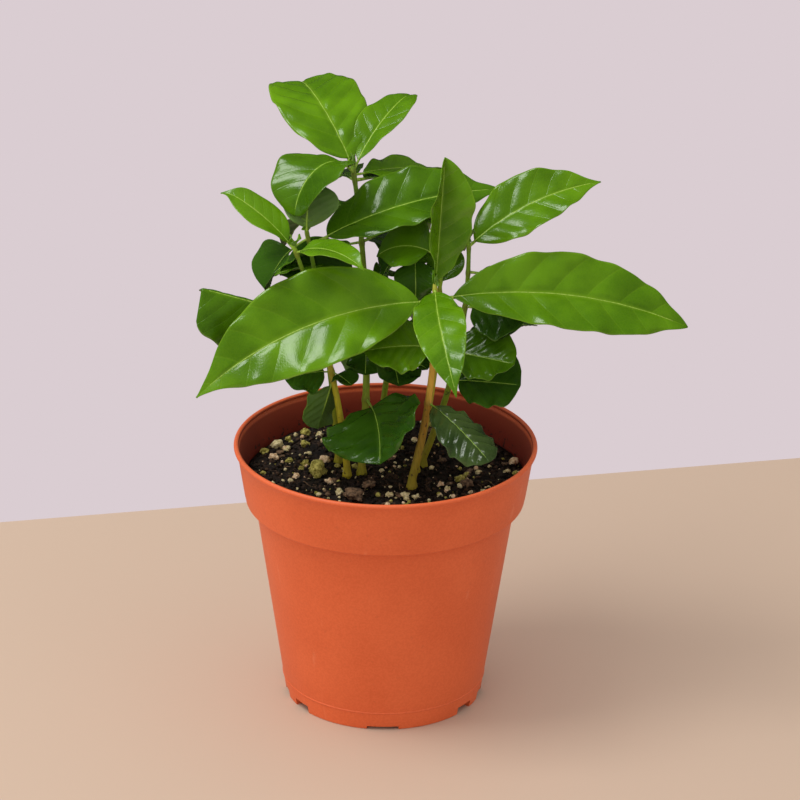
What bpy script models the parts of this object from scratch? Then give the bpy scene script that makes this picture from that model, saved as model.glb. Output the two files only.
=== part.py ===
"""A young coffee plant: seven seedlings that grow as one clump in a round plastic nursery pot.

Units are metres, Z is up, and the pot stands on z = 0. The plant's front faces -Y.
"""

import math
import random

import bmesh
import bpy
import numpy as np

# Gap left between two pieces that touch on the real plant.
CLEARANCE = 0.0003
MERGE_DISTANCE = 0.00001

# The pot: a tapered body under a wider collar, with a bead round the rim.
POT_HEIGHT = 0.136
BODY_FOOT_RADIUS = 0.050
BODY_TAPER = 0.146
COLLAR_HEIGHT = 0.030
COLLAR_FOOT_RADIUS = 0.0701
COLLAR_TAPER = 0.155
COLLAR_EDGE = 0.0012
WALL = 0.0015
BEAD_RADIUS = 0.00125
BEAD_OVERHANG = 0.0014
BEAD_POINTS = 7
BEAD_ANGLES = (-50, 230)
MOULD_LINE_HEIGHT = 0.0098
MOULD_LINE_STEP = 0.0003
FLOOR_HEIGHT = 0.0045
PAD_RADIUS = 0.020
FOOT_WIDTH = 0.0035
POT_SIDES = 48

# Notches in the foot ring: angle from the front in degrees, width and height.
FRONT_NOTCH = {"angles": (0, 180), "width": 0.0160, "height": 0.0018}
SIDE_NOTCH = {"angles": (55, 78, 102, 125, 235, 258, 282, 305), "width": 0.0110, "height": 0.0040}
DRAIN_RADIUS = 0.0036
DRAIN_RING_RADIUS = 0.034
DRAIN_COUNT = 6
DRAIN_SIDES = 12

SOIL_HEIGHT = 0.1177

# Stems: they rise plumb out of the soil, then lean. A stem's bare foot flares where its roots start.
GROUND = SOIL_HEIGHT + CLEARANCE
PLUMB_HEIGHT = 0.004
FLARE_HEIGHT = 0.005
FLARE = 1.45
TIP_THINNING = 0.62
STEM_POINT_SPACING = 0.012
TUBE_RESOLUTION = 2

# A leaf's own shape, where a seedling's list doesn't say otherwise. Angles are in degrees.
# heading turns counter-clockwise from +X, rise is the leaf's slope where it starts, droop is how far
# that slope falls by the tip, curl is a further fall in the last quarter, roll tips the blade about its
# midrib, swerve turns it sideways along its length, and fold raises both halves from the midrib.
TRUE_LEAF = {
    "petiole": 0.006, "droop": 40, "curl": 0, "roll": 0, "swerve": 0, "fold": 12,
    "peak": 0.42, "fullness": 0.80,
}
SEED_LEAF = {**TRUE_LEAF, "petiole": 0.004, "peak": 0.50, "fullness": 0.58}
LEAF_THICKNESS_SHARE = 0.0115
LEAST_LEAF_THICKNESS = 0.0009
PETIOLE_HALF_WIDTH = 0.0009
BLADE_STATIONS = (0.0, 0.07, 0.18, 0.32, 0.46, 0.60, 0.74, 0.86, 0.95, 1.0)
PATH_STEPS = 24
CURL_START = 0.75
ROOT_DEPTH = 0.0008

SEEDLINGS = {
    "front": {
        "foot": (0.0134, -0.0145), "height": 0.105, "reach": (0.0101, 0.0075), "bow": (0.0035, 0.0),
        "thickness": 0.0042, "bare": 0.040,
        "leaves": (
            {"at": 0.045, "kind": SEED_LEAF, "heading": 311, "rise": -12, "length": 0.045, "width": 0.025,
             "droop": 16, "roll": 12, "fold": -12},
            {"at": 0.0735, "kind": SEED_LEAF, "heading": 200, "rise": 14, "length": 0.033, "width": 0.034,
             "droop": 20, "roll": -35},
            {"at": 0.097, "heading": 193, "rise": 5, "length": 0.122, "width": 0.051, "droop": 48,
             "roll": -48, "petiole": 0.008},
            {"at": 0.098, "heading": 5, "rise": 10, "length": 0.120, "width": 0.043, "droop": 36,
             "roll": 44, "petiole": 0.009, "peak": 0.50},
            {"at": 0.103, "heading": 270, "rise": 0, "length": 0.070, "width": 0.026, "droop": 50,
             "roll": 12, "swerve": 20, "petiole": 0.003},
            {"at": 0.1035, "heading": 75, "rise": 76, "length": 0.061, "width": 0.032, "droop": 0,
             "roll": 50, "fold": 42, "petiole": 0.004},
        ),
    },
    "left": {
        "foot": (-0.0192, -0.0010), "height": 0.123, "reach": (-0.0263, -0.0030), "bow": (0.0035, 0.0030),
        "thickness": 0.0036, "bare": 0.044,
        "leaves": (
            {"at": 0.052, "kind": SEED_LEAF, "heading": 190, "rise": -74, "length": 0.024, "width": 0.024,
             "droop": 0, "roll": 58},
            {"at": 0.0555, "kind": SEED_LEAF, "heading": 196, "rise": 10, "length": 0.020, "width": 0.030,
             "droop": 30, "roll": -28},
            {"at": 0.0558, "kind": SEED_LEAF, "heading": 318, "rise": -5, "length": 0.010, "width": 0.017,
             "droop": 20},
            {"at": 0.084, "heading": 185, "rise": 17, "length": 0.054, "width": 0.048, "droop": 0,
             "roll": -19, "fold": -43, "peak": 0.60},
            {"at": 0.1205, "heading": 320, "rise": 32, "length": 0.042, "width": 0.021, "droop": 58,
             "roll": 10, "petiole": 0.004},
            {"at": 0.1212, "heading": 160, "rise": 50, "length": 0.042, "width": 0.022, "droop": 30,
             "curl": 35, "roll": -15},
        ),
    },
    "left_back": {
        "foot": (-0.0240, 0.0150), "height": 0.1280, "reach": (-0.0158, -0.0085), "bow": (0.0020, 0.0),
        "thickness": 0.0034, "bare": 0.060,
        "leaves": (
            {"at": 0.1240, "heading": 199, "rise": -20, "length": 0.0265, "width": 0.033, "droop": 68,
             "petiole": 0.010, "fold": 24},
            {"at": 0.120, "heading": 18, "rise": 26.5, "length": 0.092, "width": 0.038, "droop": 31,
             "roll": 21, "petiole": 0.010, "fullness": 0.62},
            {"at": 0.1265, "heading": 258, "rise": 72, "length": 0.027, "width": 0.030, "droop": -100,
             "petiole": 0.003, "peak": 0.55},
        ),
    },
    "tall": {
        "foot": (-0.0120, 0.0020), "height": 0.1507, "reach": (-0.0057, 0.0350), "bow": (0.0045, 0.0),
        "thickness": 0.0040, "bare": 0.026,
        "leaves": (
            {"at": 0.0370, "kind": SEED_LEAF, "heading": 290, "rise": 2, "length": 0.040, "width": 0.056,
             "droop": 40, "roll": 27, "fold": 20, "swerve": -22, "petiole": 0.010, "fullness": 0.70},
            {"at": 0.062, "kind": SEED_LEAF, "heading": 268, "rise": -10, "length": 0.013, "width": 0.020,
             "droop": 40},
            {"at": 0.099, "heading": 170, "rise": 14, "length": 0.038, "width": 0.030, "droop": 40,
             "roll": -54},
            {"at": 0.1472, "heading": 228, "rise": 58, "length": 0.052, "width": 0.038, "droop": 145,
             "roll": 4},
            {"at": 0.1467, "heading": 36, "rise": 0, "length": 0.053, "width": 0.026, "droop": 20,
             "roll": -1, "fold": 8},
            {"at": 0.1492, "heading": 130, "rise": 57, "length": 0.077, "width": 0.046, "droop": 80,
             "roll": -6, "swerve": -32, "fold": 4, "peak": 0.38, "fullness": 0.60},
            {"at": 0.1487, "heading": 52, "rise": 52, "length": 0.053, "width": 0.023, "droop": 42,
             "curl": 60, "peak": 0.54},
        ),
    },
    "middle": {
        "foot": (-0.0030, 0.0290), "height": 0.114, "reach": (0.0170, -0.0090), "bow": (-0.0030, 0.0),
        "thickness": 0.0034, "bare": 0.050,
        "leaves": (
            {"at": 0.055, "kind": SEED_LEAF, "heading": 280, "rise": 0, "length": 0.022, "width": 0.026,
             "droop": 30, "roll": -10},
            {"at": 0.0555, "kind": SEED_LEAF, "heading": 330, "rise": 0, "length": 0.018, "width": 0.022,
             "droop": 20},
            {"at": 0.110, "heading": 205, "rise": 20, "length": 0.018, "width": 0.022, "droop": 110},
            {"at": 0.1125, "heading": 272, "rise": -25, "length": 0.022, "width": 0.022, "droop": 60},
        ),
    },
    "right": {
        "foot": (0.0155, 0.0040), "height": 0.115, "reach": (0.0100, 0.0040), "bow": (0.0040, 0.0),
        "thickness": 0.0034, "bare": 0.062,
        "leaves": (
            {"at": 0.066, "kind": SEED_LEAF, "heading": 335, "rise": 2, "length": 0.038, "width": 0.032,
             "droop": 5, "roll": 25},
            {"at": 0.096, "heading": 75, "rise": 50, "length": 0.022, "width": 0.020, "droop": 30},
            {"at": 0.1142, "heading": 164, "rise": 34, "length": 0.029, "width": 0.032, "droop": 80,
             "roll": -36},
        ),
    },
    "right_leaning": {
        "foot": (0.0190, 0.0115), "height": 0.120, "reach": (0.0210, 0.0035), "bow": (0.0060, 0.0),
        "thickness": 0.0036, "bare": 0.044,
        "leaves": (
            {"at": 0.0465, "kind": SEED_LEAF, "heading": 345, "rise": 5, "length": 0.032, "width": 0.037,
             "droop": 5, "roll": 32},
            {"at": 0.086, "kind": SEED_LEAF, "heading": 335, "rise": 0, "length": 0.030, "width": 0.034,
             "droop": 0, "roll": 35},
            {"at": 0.1175, "heading": 12, "rise": 43, "length": 0.070, "width": 0.034, "droop": 38,
             "roll": 38, "petiole": 0.004},
        ),
    },
}

COLORS = {
    "pot": (0.60, 0.115, 0.045),
    "soil": (0.030, 0.020, 0.014),
    "stem": (0.30, 0.20, 0.045),
    "foliage": (0.055, 0.200, 0.012),
}
ROUGHNESS = {"pot": 0.45, "soil": 0.95, "stem": 0.60, "foliage": 0.35}

# Leaves on the far side of the crown: pairs at these heights, turned and sized by a seeded rule.
FAR_PAIRS = {
    "front": (0.060, 0.088),
    "left": (0.070, 0.100),
    "left_back": (0.066, 0.084, 0.102),
    "tall": (0.078, 0.096, 0.114, 0.132, 0.144),
    "middle": (0.066, 0.082, 0.100),
    "right": (0.080, 0.104),
    "right_leaning": (0.066, 0.104),
}
FAR_HEADINGS = (40, 140)
FAR_HEADING_SPREAD = 45
FAR_RISE = (-10, 30)
FAR_DROOP = (30, 90)
FAR_LENGTH = (0.042, 0.086)
FAR_SHAPE = 0.42
FAR_TRIES = 40
STEM_SAMPLES = 40
LEAF_CLEARANCE = 0.0055
SEED = 7

# The far leaves stay behind the near ones, so that the gaps between those stay open to the front.
SIGHT_FALL = 0.434
COVER_REACH = 0.0026
COVER_STATIONS = 29
COVER_COLUMNS = 13


def clear_scene():
    for obj in list(bpy.data.objects):
        bpy.data.objects.remove(obj, do_unlink=True)


def new_collection(name):
    collection = bpy.data.collections.new(name)
    bpy.context.scene.collection.children.link(collection)
    return collection


def make_material(name):
    material = bpy.data.materials.new(name)
    material.use_nodes = True
    shader = material.node_tree.nodes["Principled BSDF"]
    shader.inputs["Base Color"].default_value = (*COLORS[name], 1)
    shader.inputs["Roughness"].default_value = ROUGHNESS[name]
    shader.inputs["Metallic"].default_value = 0
    return material


def mesh_object(name, points, faces, collection):
    mesh = bpy.data.meshes.new(name)
    mesh.from_pydata([tuple(point) for point in points], [], faces)
    obj = bpy.data.objects.new(name, mesh)
    collection.objects.link(obj)
    return obj


def apply_modifiers(obj):
    """Swaps the object's mesh for the one its modifiers make."""
    graph = bpy.context.evaluated_depsgraph_get()
    made = bpy.data.meshes.new_from_object(obj.evaluated_get(graph))
    obj.modifiers.clear()
    obj.data = made


def turned_body(name, profile, collection):
    """A closed solid of revolution about Z, from (radius, height) points that start and end on the axis."""
    edges = [(i, i + 1) for i in range(len(profile) - 1)]
    mesh = bpy.data.meshes.new(name)
    mesh.from_pydata([(radius, 0, height) for radius, height in profile], edges, [])
    obj = bpy.data.objects.new(name, mesh)
    collection.objects.link(obj)
    screw = obj.modifiers.new("Turn", "SCREW")
    screw.axis = "Z"
    screw.steps = POT_SIDES
    screw.render_steps = POT_SIDES
    screw.use_merge_vertices = True
    screw.merge_threshold = MERGE_DISTANCE
    screw.use_normal_flip = True
    return obj


def body_radius(height):
    return BODY_FOOT_RADIUS + BODY_TAPER * height


def collar_radius(height):
    return COLLAR_FOOT_RADIUS + COLLAR_TAPER * (height - POT_HEIGHT + COLLAR_HEIGHT)


def bead_points():
    """The rolled rim, from the collar's outer face over the top to its inner face."""
    middle_height = POT_HEIGHT - BEAD_RADIUS
    middle_radius = collar_radius(middle_height) - BEAD_RADIUS + BEAD_OVERHANG
    first, last = BEAD_ANGLES
    for step in range(BEAD_POINTS):
        angle = math.radians(first + (last - first) * step / (BEAD_POINTS - 1))
        yield middle_radius + BEAD_RADIUS * math.cos(angle), middle_height + BEAD_RADIUS * math.sin(angle)


def pot_profile():
    collar_foot = POT_HEIGHT - COLLAR_HEIGHT
    inner_foot = body_radius(0) - FOOT_WIDTH
    inner_step = collar_foot + WALL
    return [
        (0, 0),
        (PAD_RADIUS, 0),
        (PAD_RADIUS + WALL, FLOOR_HEIGHT),
        (inner_foot - WALL / 2, FLOOR_HEIGHT),
        (inner_foot, 0),
        (body_radius(0), 0),
        (body_radius(MOULD_LINE_HEIGHT), MOULD_LINE_HEIGHT),
        (body_radius(MOULD_LINE_HEIGHT) + MOULD_LINE_STEP, MOULD_LINE_HEIGHT + MOULD_LINE_STEP),
        (body_radius(collar_foot), collar_foot - COLLAR_EDGE / 2),
        (collar_radius(collar_foot) - COLLAR_EDGE, collar_foot),
        (collar_radius(collar_foot), collar_foot + COLLAR_EDGE),
        *bead_points(),
        (collar_radius(inner_step) - WALL, inner_step + WALL / 2),
        (body_radius(inner_step) - WALL, inner_step),
        (body_radius(FLOOR_HEIGHT + WALL) - WALL, FLOOR_HEIGHT + WALL),
        (PAD_RADIUS, FLOOR_HEIGHT + WALL),
        (PAD_RADIUS - WALL, WALL),
        (0, WALL),
    ]


def cut_by(obj, cutters):
    boolean = obj.modifiers.new("Cut", "BOOLEAN")
    boolean.operation = "DIFFERENCE"
    boolean.operand_type = "COLLECTION"
    boolean.collection = cutters
    boolean.solver = "EXACT"


def hide_helper(obj):
    obj.hide_render = True
    obj.display_type = "WIRE"


def add_notch_cutters(kind, cutters):
    """Boxes that cross the foot ring and reach up from below the pot."""
    for angle in kind["angles"]:
        turn = math.radians(angle - 90)
        middle = BODY_FOOT_RADIUS - FOOT_WIDTH / 2
        bpy.ops.mesh.primitive_cube_add(
            size=1,
            location=(middle * math.cos(turn), middle * math.sin(turn), 0),
            rotation=(0, 0, turn),
        )
        box = bpy.context.object
        box.name = f"notch_cutter_{angle}"
        box.scale = (4 * FOOT_WIDTH, kind["width"], 2 * kind["height"])
        move_to(box, cutters)
        hide_helper(box)


def add_drain_cutters(cutters):
    for index in range(DRAIN_COUNT):
        turn = math.tau * (index + 0.5) / DRAIN_COUNT
        bpy.ops.mesh.primitive_cylinder_add(
            vertices=DRAIN_SIDES,
            radius=DRAIN_RADIUS,
            depth=4 * WALL,
            location=(
                DRAIN_RING_RADIUS * math.cos(turn),
                DRAIN_RING_RADIUS * math.sin(turn),
                FLOOR_HEIGHT + WALL / 2,
            ),
        )
        hole = bpy.context.object
        hole.name = f"drain_cutter_{index}"
        move_to(hole, cutters)
        hide_helper(hole)


def move_to(obj, collection):
    for other in list(obj.users_collection):
        other.objects.unlink(obj)
    collection.objects.link(obj)


def make_pot(collection, cutters):
    pot = turned_body("pot", pot_profile(), collection)
    add_notch_cutters(FRONT_NOTCH, cutters)
    add_notch_cutters(SIDE_NOTCH, cutters)
    add_drain_cutters(cutters)
    cut_by(pot, cutters)
    pot.data.materials.append(make_material("pot"))
    return pot


def make_soil(collection):
    """The potting mix, which fills the pot up to a level a little below the rim."""
    floor = FLOOR_HEIGHT + WALL + CLEARANCE
    step = POT_HEIGHT - COLLAR_HEIGHT + WALL + CLEARANCE
    inset = WALL + CLEARANCE
    profile = [
        (0, WALL + CLEARANCE),
        (PAD_RADIUS - WALL - CLEARANCE, WALL + CLEARANCE),
        (PAD_RADIUS - CLEARANCE, floor),
        (body_radius(floor) - inset, floor),
        (body_radius(step) - inset, step + CLEARANCE),
        (collar_radius(step) - inset, step + WALL / 2 + CLEARANCE),
        (collar_radius(SOIL_HEIGHT) - inset, SOIL_HEIGHT),
        (0, SOIL_HEIGHT),
    ]
    soil = turned_body("soil", profile, collection)
    soil.data.materials.append(make_material("soil"))
    return soil


def axis_point(seedling, height):
    """The middle of a seedling's stem at a height above the ground."""
    share = max(0.0, (height - PLUMB_HEIGHT) / (seedling["height"] - PLUMB_HEIGHT))
    bend = 4 * share * (1 - share)
    foot, reach, bow = seedling["foot"], seedling["reach"], seedling["bow"]
    return np.array((
        foot[0] + reach[0] * share + bow[0] * bend,
        foot[1] + reach[1] * share + bow[1] * bend,
        GROUND + height,
    ))


def stem_radius(seedling, height):
    """Half the stem's thickness: it thins to the tip and flares at the ground."""
    thinning = 1 - (1 - TIP_THINNING) * height / seedling["height"]
    flare = 1 + (FLARE - 1) * max(0.0, 1 - height / FLARE_HEIGHT) ** 2
    return seedling["thickness"] / 2 * thinning * flare


def tube_object(name, points, radii, collection):
    """A round tube along the points, as a closed mesh."""
    curve = bpy.data.curves.new(name, "CURVE")
    curve.dimensions = "3D"
    curve.bevel_depth = 1
    curve.bevel_resolution = TUBE_RESOLUTION
    curve.use_fill_caps = True
    spline = curve.splines.new("POLY")
    spline.points.add(len(points) - 1)
    for spot, point, radius in zip(spline.points, points, radii):
        spot.co = (*point, 1)
        spot.radius = radius
    guide = bpy.data.objects.new(name + "_guide", curve)
    collection.objects.link(guide)
    graph = bpy.context.evaluated_depsgraph_get()
    mesh = bpy.data.meshes.new_from_object(guide.evaluated_get(graph))
    weld_caps(mesh)
    obj = bpy.data.objects.new(name, mesh)
    obj.matrix_world = guide.matrix_world
    bpy.data.objects.remove(guide)
    collection.objects.link(obj)
    return obj


def weld_caps(mesh):
    working = bmesh.new()
    working.from_mesh(mesh)
    bmesh.ops.remove_doubles(working, verts=working.verts, dist=MERGE_DISTANCE)
    bmesh.ops.recalc_face_normals(working, faces=working.faces)
    working.to_mesh(mesh)
    working.free()


def stem_heights(low, high):
    count = max(2, round((high - low) / STEM_POINT_SPACING))
    return [low + (high - low) * i / count for i in range(count + 1)]


def make_stem(name, seedling, material, collection):
    """The bare foot of a seedling, cut flat and level at the ground."""
    heights = [0.0, FLARE_HEIGHT / 3, PLUMB_HEIGHT, *stem_heights(FLARE_HEIGHT, seedling["bare"])]
    points = [axis_point(seedling, height) for height in heights]
    radii = [stem_radius(seedling, height) for height in heights]
    stem = tube_object("stem_" + name, points, radii, collection)
    stem.data.materials.append(material)
    return stem


def full_leaf(leaf):
    """The leaf with every value that its own list leaves to its kind."""
    return {**TRUE_LEAF, **leaf.get("kind", {}), **leaf}


def leaf_directions(leaf, share):
    """Unit vectors along the midrib, to its left and out of the upper face, at shares of its length."""
    late = np.clip((share - CURL_START) / (1 - CURL_START), 0, 1)
    rise = np.radians(leaf["rise"] - leaf["droop"] * share - leaf["curl"] * late**2)
    heading = np.radians(leaf["heading"] + leaf["swerve"] * share)
    along = np.stack(
        [np.cos(rise) * np.cos(heading), np.cos(rise) * np.sin(heading), np.sin(rise)], axis=-1
    )
    level = np.stack([-np.sin(heading), np.cos(heading), 0 * heading], axis=-1)
    upright = np.cross(along, level)
    roll = math.radians(leaf["roll"])
    left = level * math.cos(roll) + upright * math.sin(roll)
    return along, left, np.cross(along, left)


def leaf_midrib(leaf, root, share):
    """Points of the midrib at shares of its whole length, petiole included."""
    steps = (np.arange(PATH_STEPS) + 0.5) / PATH_STEPS
    along = leaf_directions(leaf, steps)[0]
    reach = (leaf["petiole"] + leaf["length"]) / PATH_STEPS
    path = np.vstack([np.zeros(3), np.cumsum(along * reach, axis=0)])
    knots = np.linspace(0, 1, PATH_STEPS + 1)
    return root + np.stack([np.interp(share, knots, path[:, k]) for k in range(3)], axis=-1)


def half_width(leaf, station):
    """Half the blade's width at a share of its length: widest at the peak, with a drawn-out tip."""
    peak = leaf["peak"]
    tail = leaf["fullness"] * (1 - peak) / peak
    shape = (station / peak) ** leaf["fullness"] * ((1 - station) / (1 - peak)) ** tail
    return np.maximum(leaf["width"] / 2 * shape, PETIOLE_HALF_WIDTH)


def leaf_rows(leaf, root, stations=BLADE_STATIONS):
    """The blade's left edge, midrib and right edge, from its root in the stem to its tip."""
    whole = leaf["petiole"] + leaf["length"]
    stations = np.array(stations)
    share = np.concatenate([[0.0], (leaf["petiole"] + stations * leaf["length"]) / whole])
    width = np.concatenate([[PETIOLE_HALF_WIDTH], half_width(leaf, stations)])[:, None]
    along, left, up = leaf_directions(leaf, share)
    middle = leaf_midrib(leaf, root, share)
    middle[0] -= along[0] * ROOT_DEPTH
    fold = math.radians(leaf["fold"])
    lift = up * width * math.sin(fold)
    spread = left * width * math.cos(fold)
    return np.stack([middle + spread + lift, middle, middle - spread + lift], axis=1)


def make_leaf(name, leaf, root, collection):
    rows = leaf_rows(leaf, root)
    faces = []
    for row in range(len(rows) - 1):
        for side in range(2):
            near = 3 * row + side
            faces.append((near, near + 1, near + 4, near + 3))
    blade = mesh_object(name, rows.reshape(-1, 3), faces, collection)
    thicken = blade.modifiers.new("Thicken", "SOLIDIFY")
    thicken.thickness = max(LEAST_LEAF_THICKNESS, LEAF_THICKNESS_SHARE * leaf["length"])
    thicken.offset = 0
    apply_modifiers(blade)
    return blade


def stem_samples(seedling):
    heights = np.linspace(0, seedling["height"], STEM_SAMPLES)
    return np.array([axis_point(seedling, height) for height in heights])


def far_leaf(at, side, rng):
    """One leaf of a pair on the side of the crown that faces away."""
    length = rng.uniform(*FAR_LENGTH)
    return full_leaf({
        "at": at,
        "heading": side + rng.uniform(-FAR_HEADING_SPREAD, FAR_HEADING_SPREAD),
        "rise": rng.uniform(*FAR_RISE),
        "droop": rng.uniform(*FAR_DROOP),
        "length": length,
        "width": FAR_SHAPE * length,
    })


def leaf_samples(leaf, root):
    """Points spread over the blade, for telling how near two leaves come."""
    rows = leaf_rows(leaf, root)[2:]
    halfway = (rows[:, [0, 2]] + rows[:, [1]]) / 2
    return np.concatenate([rows, halfway], axis=1).reshape(-1, 3)


def seen_from_front(points):
    """Where lines of sight through the points cross the upright plane through the pot's middle."""
    return np.stack([points[:, 0], points[:, 2] + SIGHT_FALL * points[:, 1]], axis=1)


def leaf_cover(leaf, root):
    """Closely set points over the blade, as seen from the front."""
    rows = leaf_rows(leaf, root, np.linspace(0, 1, COVER_STATIONS))
    across = np.abs(np.linspace(-1, 1, COVER_COLUMNS))[:, None]
    left = rows[:, [1]] * (1 - across) + rows[:, [0]] * across
    right = rows[:, [1]] * (1 - across) + rows[:, [2]] * across
    return seen_from_front(np.concatenate([left, right], axis=1).reshape(-1, 3))


def nearest_gaps(points, others):
    """How far each point lies from the nearest of the others."""
    return np.linalg.norm(points[:, None] - others[None], axis=2).min(axis=1)


def grown_leaves():
    """Every seedling's leaves with their roots. A far leaf that would touch another seedling, or
    show between the near leaves, is tried again with another turn, and skipped after some tries."""
    rng = random.Random(SEED)
    grown = {}
    for name, seedling in SEEDLINGS.items():
        leaves = map(full_leaf, seedling["leaves"])
        grown[name] = [(leaf, axis_point(seedling, leaf["at"])) for leaf in leaves]
    cover = np.concatenate([leaf_cover(*leaf) for leaves in grown.values() for leaf in leaves])
    for name, seedling in SEEDLINGS.items():
        others = [leaf_samples(*leaf) for other in grown if other != name for leaf in grown[other]]
        others += [stem_samples(other) for key, other in SEEDLINGS.items() if key != name]
        others = np.concatenate(others)
        for at in FAR_PAIRS[name]:
            root = axis_point(seedling, at)
            for side in FAR_HEADINGS:
                for _ in range(FAR_TRIES):
                    leaf = far_leaf(at, side, rng)
                    samples = leaf_samples(leaf, root)
                    if nearest_gaps(samples, others).min() < LEAF_CLEARANCE:
                        continue
                    if nearest_gaps(seen_from_front(samples), cover).max() > COVER_REACH:
                        continue
                    grown[name].append((leaf, root))
                    break
    return grown


def make_foliage(name, seedling, leaves, material, collection, parts):
    """A seedling's green shoot with its leaves fused on: one closed mass above the bare foot."""
    heights = stem_heights(seedling["bare"] + CLEARANCE, seedling["height"])
    points = [axis_point(seedling, height) for height in heights]
    radii = [stem_radius(seedling, height) for height in heights]
    shoot = tube_object("foliage_" + name, points, radii, collection)
    blades = [
        make_leaf(f"{name}_leaf_{index}", leaf, root, parts) for index, (leaf, root) in enumerate(leaves)
    ]
    union = shoot.modifiers.new("Fuse leaves", "BOOLEAN")
    union.operation = "UNION"
    union.operand_type = "COLLECTION"
    union.collection = parts
    union.solver = "EXACT"
    apply_modifiers(shoot)
    for blade in blades:
        bpy.data.objects.remove(blade)
    shoot.data.materials.clear()
    shoot.data.materials.append(material)
    return shoot


def main():
    clear_scene()
    plant = new_collection("coffee_plant")
    cutters = new_collection("cutters")
    leaf_parts = new_collection("leaf_parts")
    make_pot(plant, cutters)
    make_soil(plant)
    stem_material = make_material("stem")
    foliage_material = make_material("foliage")
    leaves = grown_leaves()
    for name, seedling in SEEDLINGS.items():
        make_stem(name, seedling, stem_material, plant)
        make_foliage(name, seedling, leaves[name], foliage_material, plant, leaf_parts)


main()
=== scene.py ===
# A young coffee plant: seven seedlings that grow as one clump in a round plastic nursery pot.
# Metres, Z up. The pot stands on z = 0 and the plant's front faces -Y.
import math
import random

import bmesh
import bpy
import numpy as np
from mathutils import Matrix, Vector, kdtree, noise


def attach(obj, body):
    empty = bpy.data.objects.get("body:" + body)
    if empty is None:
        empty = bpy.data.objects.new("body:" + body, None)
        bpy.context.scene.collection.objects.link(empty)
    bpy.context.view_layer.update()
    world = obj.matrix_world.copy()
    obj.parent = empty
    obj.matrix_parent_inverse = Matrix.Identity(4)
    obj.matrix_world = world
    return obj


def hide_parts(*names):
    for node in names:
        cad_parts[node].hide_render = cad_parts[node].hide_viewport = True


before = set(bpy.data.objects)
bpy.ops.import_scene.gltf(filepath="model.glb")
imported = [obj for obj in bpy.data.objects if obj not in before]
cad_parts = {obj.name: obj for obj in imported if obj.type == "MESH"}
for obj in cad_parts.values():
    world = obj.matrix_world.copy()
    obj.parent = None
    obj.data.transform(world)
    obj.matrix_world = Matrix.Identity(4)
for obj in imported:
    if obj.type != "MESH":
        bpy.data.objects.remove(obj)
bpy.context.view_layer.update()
scene = bpy.context.scene
print("frame loaded:", len(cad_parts), "solids")


def srgb(red, green, blue):
    return tuple(((c / 255 + 0.055) / 1.055) ** 2.4 if c > 10 else c / 255 / 12.92 for c in (red, green, blue))


# A shader socket that takes part in plain arithmetic: each operator adds its Math node.
class Signal:
    def __init__(self, finish, socket):
        self.finish = finish
        self.socket = socket

    def math(self, operation, *values):
        return self.finish.add("Math", {"operation": operation}, values)

    def __add__(self, other):
        return self.math("ADD", self, other)

    def __sub__(self, other):
        return self.math("SUBTRACT", self, other)

    def __rsub__(self, other):
        return self.math("SUBTRACT", other, self)

    def __mul__(self, other):
        return self.math("MULTIPLY", self, other)

    __radd__, __rmul__ = __add__, __mul__

    def __abs__(self):
        return self.math("ABSOLUTE", self)

    def sine(self):
        return self.math("SINE", self)

    # 0 below low, 1 above high, with a soft slope between them
    def ramp(self, low, high):
        return self.finish.add(
            "MapRange", {"interpolation_type": "SMOOTHSTEP"},
            {"Value": self, "From Min": low, "From Max": high},
        )


# One material: add() makes its nodes, wear() sets what varies. Colours are given as 0 to 255.
class Finish:
    def __init__(self, name):
        self.material = bpy.data.materials.new(name)
        self.material.use_nodes = True
        self.tree = self.material.node_tree
        self.shader = self.tree.nodes["Principled BSDF"]
        self.place = self.add("TexCoord", output="Object")

    def feed(self, socket, value):
        if isinstance(value, Signal):
            self.tree.links.new(value.socket, socket)
        elif socket.type == "RGBA":
            socket.default_value = (*srgb(*value), 1)
        else:
            socket.default_value = value

    # settings come first, then the values or links of the node's sockets
    def add(self, kind, settings=None, values=None, output=0):
        node = self.tree.nodes.new("ShaderNode" + kind)
        for setting, value in (settings or {}).items():
            setattr(node, setting, value)
        values = values or {}
        for key, value in values.items() if isinstance(values, dict) else enumerate(values):
            self.feed(node.inputs[key], value)
        return Signal(self, node.outputs[output])

    def noise(self, scale, detail=2.0):
        return self.add("TexNoise", None, {"Vector": self.place, "Scale": scale, "Detail": detail})

    def streaks(self, scales, detail):
        place = self.add("Mapping", None, {"Vector": self.place, "Scale": scales})
        return self.add("TexNoise", None, {"Vector": place, "Scale": 1.0, "Detail": detail})

    def cells(self, scale, feature="F1"):
        return self.add("TexVoronoi", {"feature": feature}, {"Vector": self.place, "Scale": scale})

    def blend(self, amount, first, second):
        return self.add("Mix", {"data_type": "RGBA"}, {0: amount, 6: first, 7: second}, output=2)

    def attribute(self, name):
        spot = self.add("Attribute", {"attribute_name": name}, output="Vector")
        return [self.add("SeparateXYZ", None, [spot], output=axis) for axis in range(3)]

    # colour and roughness may vary over the surface, and height is its relief in metres
    def wear(self, colour, roughness, height=None):
        self.feed(self.shader.inputs["Base Color"], colour)
        self.feed(self.shader.inputs["Roughness"], roughness)
        if height is not None:
            bump = self.add("Bump", None, {"Height": height, "Distance": 1.0, "Strength": 1.0})
            self.feed(self.shader.inputs["Normal"], bump)
        return self.material


def linked(name, data):
    obj = bpy.data.objects.new(name, data)
    scene.collection.objects.link(obj)
    return obj


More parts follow.
